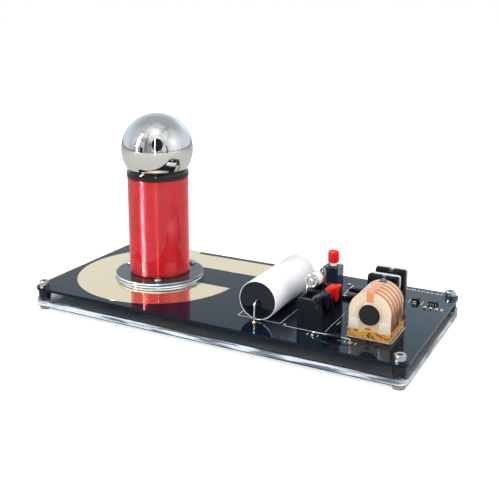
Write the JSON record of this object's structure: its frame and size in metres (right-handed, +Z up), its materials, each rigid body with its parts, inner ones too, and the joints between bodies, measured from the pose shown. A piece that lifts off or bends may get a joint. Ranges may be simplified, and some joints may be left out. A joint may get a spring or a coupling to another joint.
{
  "type": "desktop resonant transformer",
  "caption": "Desktop resonant transformer kit: red wound coil with a steel ball on a black circuit board over a clear base, with capacitor, gap tube, lever terminal and push switch.",
  "frame": {"origin": "bottom centre of the kit, on the surface that its four corner nuts stand on, under the middle of the circuit board", "axes": "+X along the board's long edge away from the coil, +Y to the back edge, +Z up"},
  "size_m": [0.21, 0.098, 0.1061],
  "materials": {
    "clear_acrylic": "clear, polished edges",
    "board_lacquer": "glossy black solder resist",
    "bare_trace": "smooth gilt metal",
    "white_print": "printed ink",
    "gilt_pad": "gilt",
    "solder": "bright solder",
    "black_nylon": "moulded",
    "plated_steel": "plated",
    "enamelled_wire": "red wire enamel, glossy",
    "black_plastic": "glossy",
    "polished_steel": "mirror polish",
    "white_sleeve": "soft gloss",
    "wound_film": "wound film",
    "black_resin": "cast resin",
    "tinned_wire": "tinned",
    "black_housing": "moulded, soft gloss",
    "copper_clip": "bare copper",
    "red_plastic": "moulded, glossy",
    "white_ceramic": "glazed",
    "plated_electrode": "nickel plate",
    "brass_contact": "stamped",
    "white_plastic": "moulded",
    "moulded_black": "moulded, fine grain",
    "bright_tab": "plated tab",
    "cream_bobbin": "moulded",
    "wound_sections": "wound fine wire under varnish",
    "black_ferrite": "ground ferrite",
    "amber_resin": "cast amber resin",
    "orange_tape": "adhesive film",
    "grey_plate": "moulded",
    "tan_ceramic": "fired ceramic"
  },
  "bodies": {
    "kit": {"base_plate": "clear_acrylic", "circuit_board": "board_lacquer", "primary_trace": "bare_trace", "board_markings": "white_print", "solder_pads": "gilt_pad", "solder_joints": "solder", "corner_screws": "plated_steel", "corner_spacers": "black_nylon", "corner_nuts": "plated_steel", "coil_base_disc": "clear_acrylic", "disc_screws": "plated_steel", "disc_nuts": "plated_steel", "coil_tube": "clear_acrylic", "secondary_winding": "enamelled_wire", "top_seat": "black_plastic", "discharge_ball": "polished_steel", "capacitor_sleeve": "white_sleeve", "capacitor_roll": "wound_film", "capacitor_end_fill": "black_resin", "capacitor_leads": "tinned_wire", "terminal_housing": "black_housing", "terminal_contacts": "copper_clip", "lever_pin": "plated_steel", "gap_tube_ceramic": "white_ceramic", "gap_tube_electrodes": "plated_electrode", "gap_tube_leads": "tinned_wire", "switch_body": "black_housing", "switch_contacts": "brass_contact", "switch_spring": "plated_steel", "front_transistor_body": "moulded_black", "front_transistor_tab": "bright_tab", "rear_transistor_body": "moulded_black", "rear_transistor_tab": "bright_tab", "transistor_legs": "tinned_wire", "transformer_bobbin": "cream_bobbin", "transformer_windings": "wound_sections", "transformer_core": "black_ferrite", "transformer_potting": "amber_resin", "transformer_tape": "orange_tape", "transformer_back_plate": "grey_plate", "transformer_pins": "tinned_wire", "rectifier_body": "moulded_black", "rectifier_leads": "tinned_wire", "protection_diode_bodies": "moulded_black", "protection_diode_leads": "tinned_wire", "small_diode_body": "moulded_black", "small_diode_leads": "tinned_wire", "driver_chip_body": "moulded_black", "driver_chip_legs": "tinned_wire", "chip_part_bodies": "tan_ceramic", "chip_part_ends": "tinned_wire"},
    "button": {"button_stem": "white_plastic", "button_cap": "red_plastic"},
    "front_lever": {"black_lever": "black_housing"},
    "rear_lever": {"red_lever": "red_plastic"}
  },
  "joints": [
    {"name": "button_press", "type": "slide", "parent": "kit", "child": "button", "axis": [0, 0, -1], "range_m": [0, 0.0018], "stiffness_N_per_m": 500, "springref_m": -0.0006, "deforming": ["switch_spring"]},
    {"name": "front_lever_press", "type": "hinge", "parent": "kit", "child": "front_lever", "pos_m": [0.05581, -0.02538, 0.0254], "axis": [0, 1, 0], "range_deg": [0, 14], "stiffness_Nm_per_rad": 0.05, "springref_deg": -4.58},
    {"name": "rear_lever_press", "type": "hinge", "parent": "kit", "child": "rear_lever", "pos_m": [0.05581, -0.01273, 0.0254], "axis": [0, 1, 0], "range_deg": [0, 14], "stiffness_Nm_per_rad": 0.05, "springref_deg": -4.58}
  ]
}
